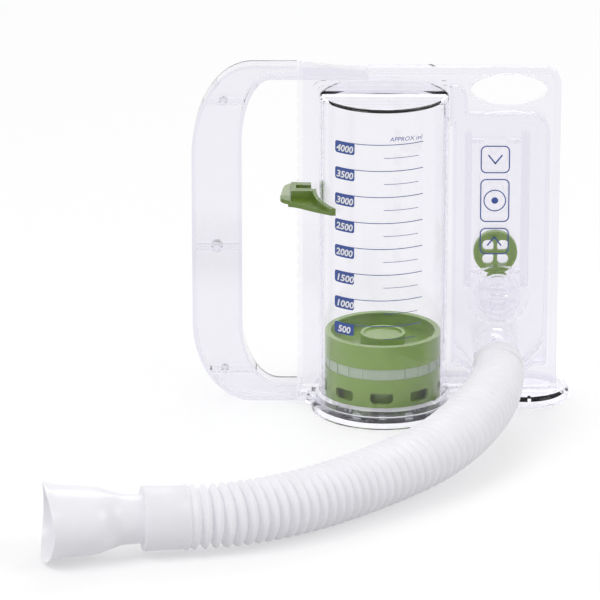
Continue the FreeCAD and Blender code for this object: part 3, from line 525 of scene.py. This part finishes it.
def make_port_sleeve():
    """The hose's smooth sleeve on the port, no wider than the hose's first ridge."""
    start, ahead = Vector(hose_points[0]), Vector((0, -1, 0))
    rings = port_sleeve_rings
    bpy.ops.mesh.primitive_circle_add(vertices=sleeve_sides, radius=rings[0][1] * MM, location=(0, 0, 0))
    piece = bpy.context.object
    bpy.ops.object.mode_set(mode="EDIT")
    bpy.ops.mesh.select_all(action="SELECT")
    for before, after in zip(rings, rings[1:]):
        step, grown = (before[0] - after[0]) * MM, after[1] / before[1]
        bpy.ops.mesh.extrude_region_move(TRANSFORM_OT_translate={"value": (0, 0, step)})
        bpy.ops.transform.resize(value=(grown, grown, 1))
    bpy.ops.mesh.select_all(action="SELECT")
    bpy.ops.mesh.remove_doubles(threshold=weld_distance)
    bpy.ops.mesh.normals_make_consistent(inside=False)
    bpy.ops.object.mode_set(mode="OBJECT")
    piece.rotation_euler = (math.pi / 2, 0, 0)
    piece.location = start - ahead * (rings[0][0] * MM)
    settle(piece, "port_sleeve", "housing", HOSE_MILKY, smooth=40)
    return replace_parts(piece, "port_cuff")


def make_mouth_sleeve():
    """The smooth sleeve at the hose's end, with a bead at each edge."""
    piece = extruded_rings(mouth_sleeve_rings)
    pick(piece)
    bpy.ops.object.transform_apply(location=True, rotation=True, scale=True)
    apply_modifier(piece, "SOLIDIFY", thickness=mouth_sleeve_skin, offset=-1.0)
    settle(piece, "mouth_sleeve", "housing", HOSE_MILKY, smooth=40)
    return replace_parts(piece, "mouth_cuff")


def onto_chamber(piece):
    """Wraps a flat printed piece onto the chamber's front, straight back along Y."""
    pick(piece)
    bpy.ops.object.transform_apply(location=True, rotation=True, scale=True)
    apply_modifier(
        piece, "SHRINKWRAP", target=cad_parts["front_shell"], wrap_method="PROJECT", use_project_y=True,
        use_positive_direction=True, use_negative_direction=False, offset=ink_lift,
    )


def printed_strip(left, right, low, high, columns):
    """A flat upright strip in front of the chamber, tilted with the scale, cut in columns."""
    middle = ((left + right) / 2, -chamber_radius - print_distance, (low + high) / 2)
    bpy.ops.mesh.primitive_grid_add(
        x_subdivisions=columns, y_subdivisions=1, size=1.0, location=middle, rotation=(math.pi / 2, 0, 0)
    )
    piece = bpy.context.object
    piece.scale = (right - left, high - low, 1)
    bpy.ops.object.transform_apply(location=True, rotation=True, scale=True)
    for vertex in piece.data.vertices:
        vertex.co.z += vertex.co.x * math.tan(scale_tilt)
    return piece


def round_label(piece, left, right, low, high):
    """Rounds the upper left and both lower corners of a label by moving its end columns in."""
    for vertex in piece.data.vertices:
        x = vertex.co.x
        level = vertex.co.z - x * math.tan(scale_tilt)
        near = min(x - left, right - x)
        if near >= label_corner:
            continue
        drop = label_corner - math.sqrt(label_corner ** 2 - (label_corner - near) ** 2)
        if level < (low + high) / 2:
            vertex.co.z += drop
        elif x - left < label_corner:
            vertex.co.z -= drop


def printed_words(words, height, left, low, slant, weight):
    """Flat upright words in front of the chamber, made a mesh."""
    place = (left, -chamber_radius - print_distance, low)
    bpy.ops.object.text_add(location=place, rotation=(math.pi / 2, 0, 0))
    piece = bpy.context.object
    piece.data.body = words
    piece.data.size = height
    piece.data.shear = slant
    piece.data.offset = height * weight
    piece.data.resolution_u = letter_curve_steps
    bpy.ops.object.convert(target="MESH")
    return bpy.context.object


def print_scale():
    """The volume scale: long lines with numbered labels, short lines between, and the unit."""
    lines, labels, digits = [], [], []
    for i in range(volume_marks):
        z = lowest_mark_z + i * mark_pitch
        low, high = z - mark_thickness / 2, z + mark_thickness / 2
        lines.append(printed_strip(mark_left, mark_right, low, high, mark_columns))
        short_z = z - mark_pitch / 2
        low, high = short_z - short_mark_thickness / 2, short_z + short_mark_thickness / 2
        lines.append(printed_strip(short_mark_left, short_mark_right, low, high, short_mark_columns))
        low, high = z - label_height, z + mark_thickness / 2
        label = printed_strip(label_left, mark_left, low, high, label_columns)
        round_label(label, label_left, mark_left, low, high)
        labels.append(label)
        number = str(volume_step * (i + 1))
        words = printed_words(number, digit_height, label_left, z, digit_slant, digit_weight)
        width, height = words.dimensions.x, words.dimensions.y
        squeeze = digits_width * len(number) / digit_count / width
        words.scale = (squeeze, 1.0, 1.0)
        words.location.x = (label_left + mark_left) / 2 - squeeze * width / 2 - digit_nudge
        words.location.z = z - label_height / 2 - height / 2 + words.location.x * math.tan(scale_tilt)
        words.location.y -= digit_drawn_closer
        digits.append(words)
    lines = join(lines)
    labels = join(labels)
    onto_chamber(lines)
    onto_chamber(labels)
    settle(lines, "scale_lines", "housing", INK_LINE)
    settle(labels, "scale_labels", "housing", INK_BLUE)
    for words in digits:
        pick(words)
        bpy.ops.object.transform_apply(location=True, rotation=True, scale=True)
    digits = join(digits)
    onto_chamber(digits)
    for vertex in digits.data.vertices:
        vertex.co.y -= ink_lift
    settle(digits, "scale_digits", "housing", INK_WHITE)
    unit = printed_words("APPROX ml", unit_height, unit_left, unit_low, unit_slant, 0.0)
    onto_chamber(unit)
    settle(unit, "scale_unit", "housing", INK_BLUE)


def upright_plane(x, z, width, height):
    """A flat plane on the cover's face."""
    place = (x, cover_face_y - ink_lift, z)
    bpy.ops.mesh.primitive_plane_add(size=1.0, location=place, rotation=(math.pi / 2, 0, 0))
    piece = bpy.context.object
    piece.scale = (width, height, 1)
    bpy.ops.object.transform_apply(location=True, rotation=True, scale=True)
    return piece


def hollow_out(piece, line):
    """Leaves only an outline of this thickness."""
    pick(piece)
    bpy.ops.object.mode_set(mode="EDIT")
    bpy.ops.mesh.select_all(action="SELECT")
    bpy.ops.mesh.inset(thickness=line)
    bpy.ops.mesh.delete(type="FACE")
    bpy.ops.object.mode_set(mode="OBJECT")


def print_windows():
    """The three printed windows in front of the float, with an arrow, a target and an arrow."""
    parts = []
    for low, high in window_levels:
        piece = upright_plane(window_middle_x, (low + high) / 2, 2 * window_half_width, high - low)
        pick(piece)
        bpy.ops.object.mode_set(mode="EDIT")
        bpy.ops.mesh.select_all(action="SELECT")
        bpy.ops.mesh.bevel(offset=window_corner, segments=window_corner_steps, affect="VERTICES")
        bpy.ops.object.mode_set(mode="OBJECT")
        hollow_out(piece, window_line)
        parts.append(piece)
    for (low, high), way in ((window_levels[0], -1), (window_levels[2], 1)):
        middle = (low + high) / 2
        lean = math.atan2(arrow_drop, arrow_half_width)
        for side in (-1, 1):
            length = math.hypot(arrow_half_width, arrow_drop) + arrow_line * arrow_overlap
            leg = upright_plane(0, 0, length, arrow_line)
            for vertex in leg.data.vertices:
                vertex.co.y = 0
            leg.rotation_euler = (0, side * way * lean, 0)
            leg.location = (window_middle_x + side * arrow_half_width / 2, cover_face_y - ink_lift, middle)
            parts.append(leg)
    low, high = window_levels[1]
    for radius, line in ((target_radius, target_line), (target_dot, 0)):
        bpy.ops.mesh.primitive_circle_add(
            vertices=target_sides, radius=radius, fill_type="NGON", rotation=(math.pi / 2, 0, 0),
            location=(window_middle_x, cover_face_y - ink_lift, (low + high) / 2),
        )
        piece = bpy.context.object
        if line:
            hollow_out(piece, line)
        parts.append(piece)
    for piece in parts:
        pick(piece)
        bpy.ops.object.transform_apply(location=True, rotation=True, scale=True)
    settle(join(parts), "window_print", "housing", INK_BLUE)


def finish_solids():
    """The finishes of the solids that show as they are."""
    finishes = {
        "front_shell": CLEAR, "rear_shell": CLEAR, "flow_cover": CLEAR,
        "handle_front": CLEAR_HANDLE, "handle_back": CLEAR_HANDLE,
        "base_plate": CLEAR_BASE, "chamber_floor": CLEAR_BASE, "float_guides": CLEAR_BASE,
        "valve_cage": CLEAR_BASE, "port_tube": CLEAR_BASE, "valve_flap": FLAP_FILM,
        "flow_float": FLOAT_GREEN, "piston_cup": PISTON_GREEN, "piston_skirt": PISTON_GREEN,
        "piston_hub": PISTON_GREEN, "piston_band": BAND_PALE, "goal_slider": SLIDER_GREEN,
    }
    for name, material in finishes.items():
        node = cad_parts[name]
        node.data.materials.clear()
        node.data.materials.append(material)


let_go()
place_camera()
hose, hose_middle, hose_length = make_hose()
make_mouthpiece()
make_mouth_sleeve()
make_port_sleeve()
studio()
finish_solids()
print_scale()
print_windows()
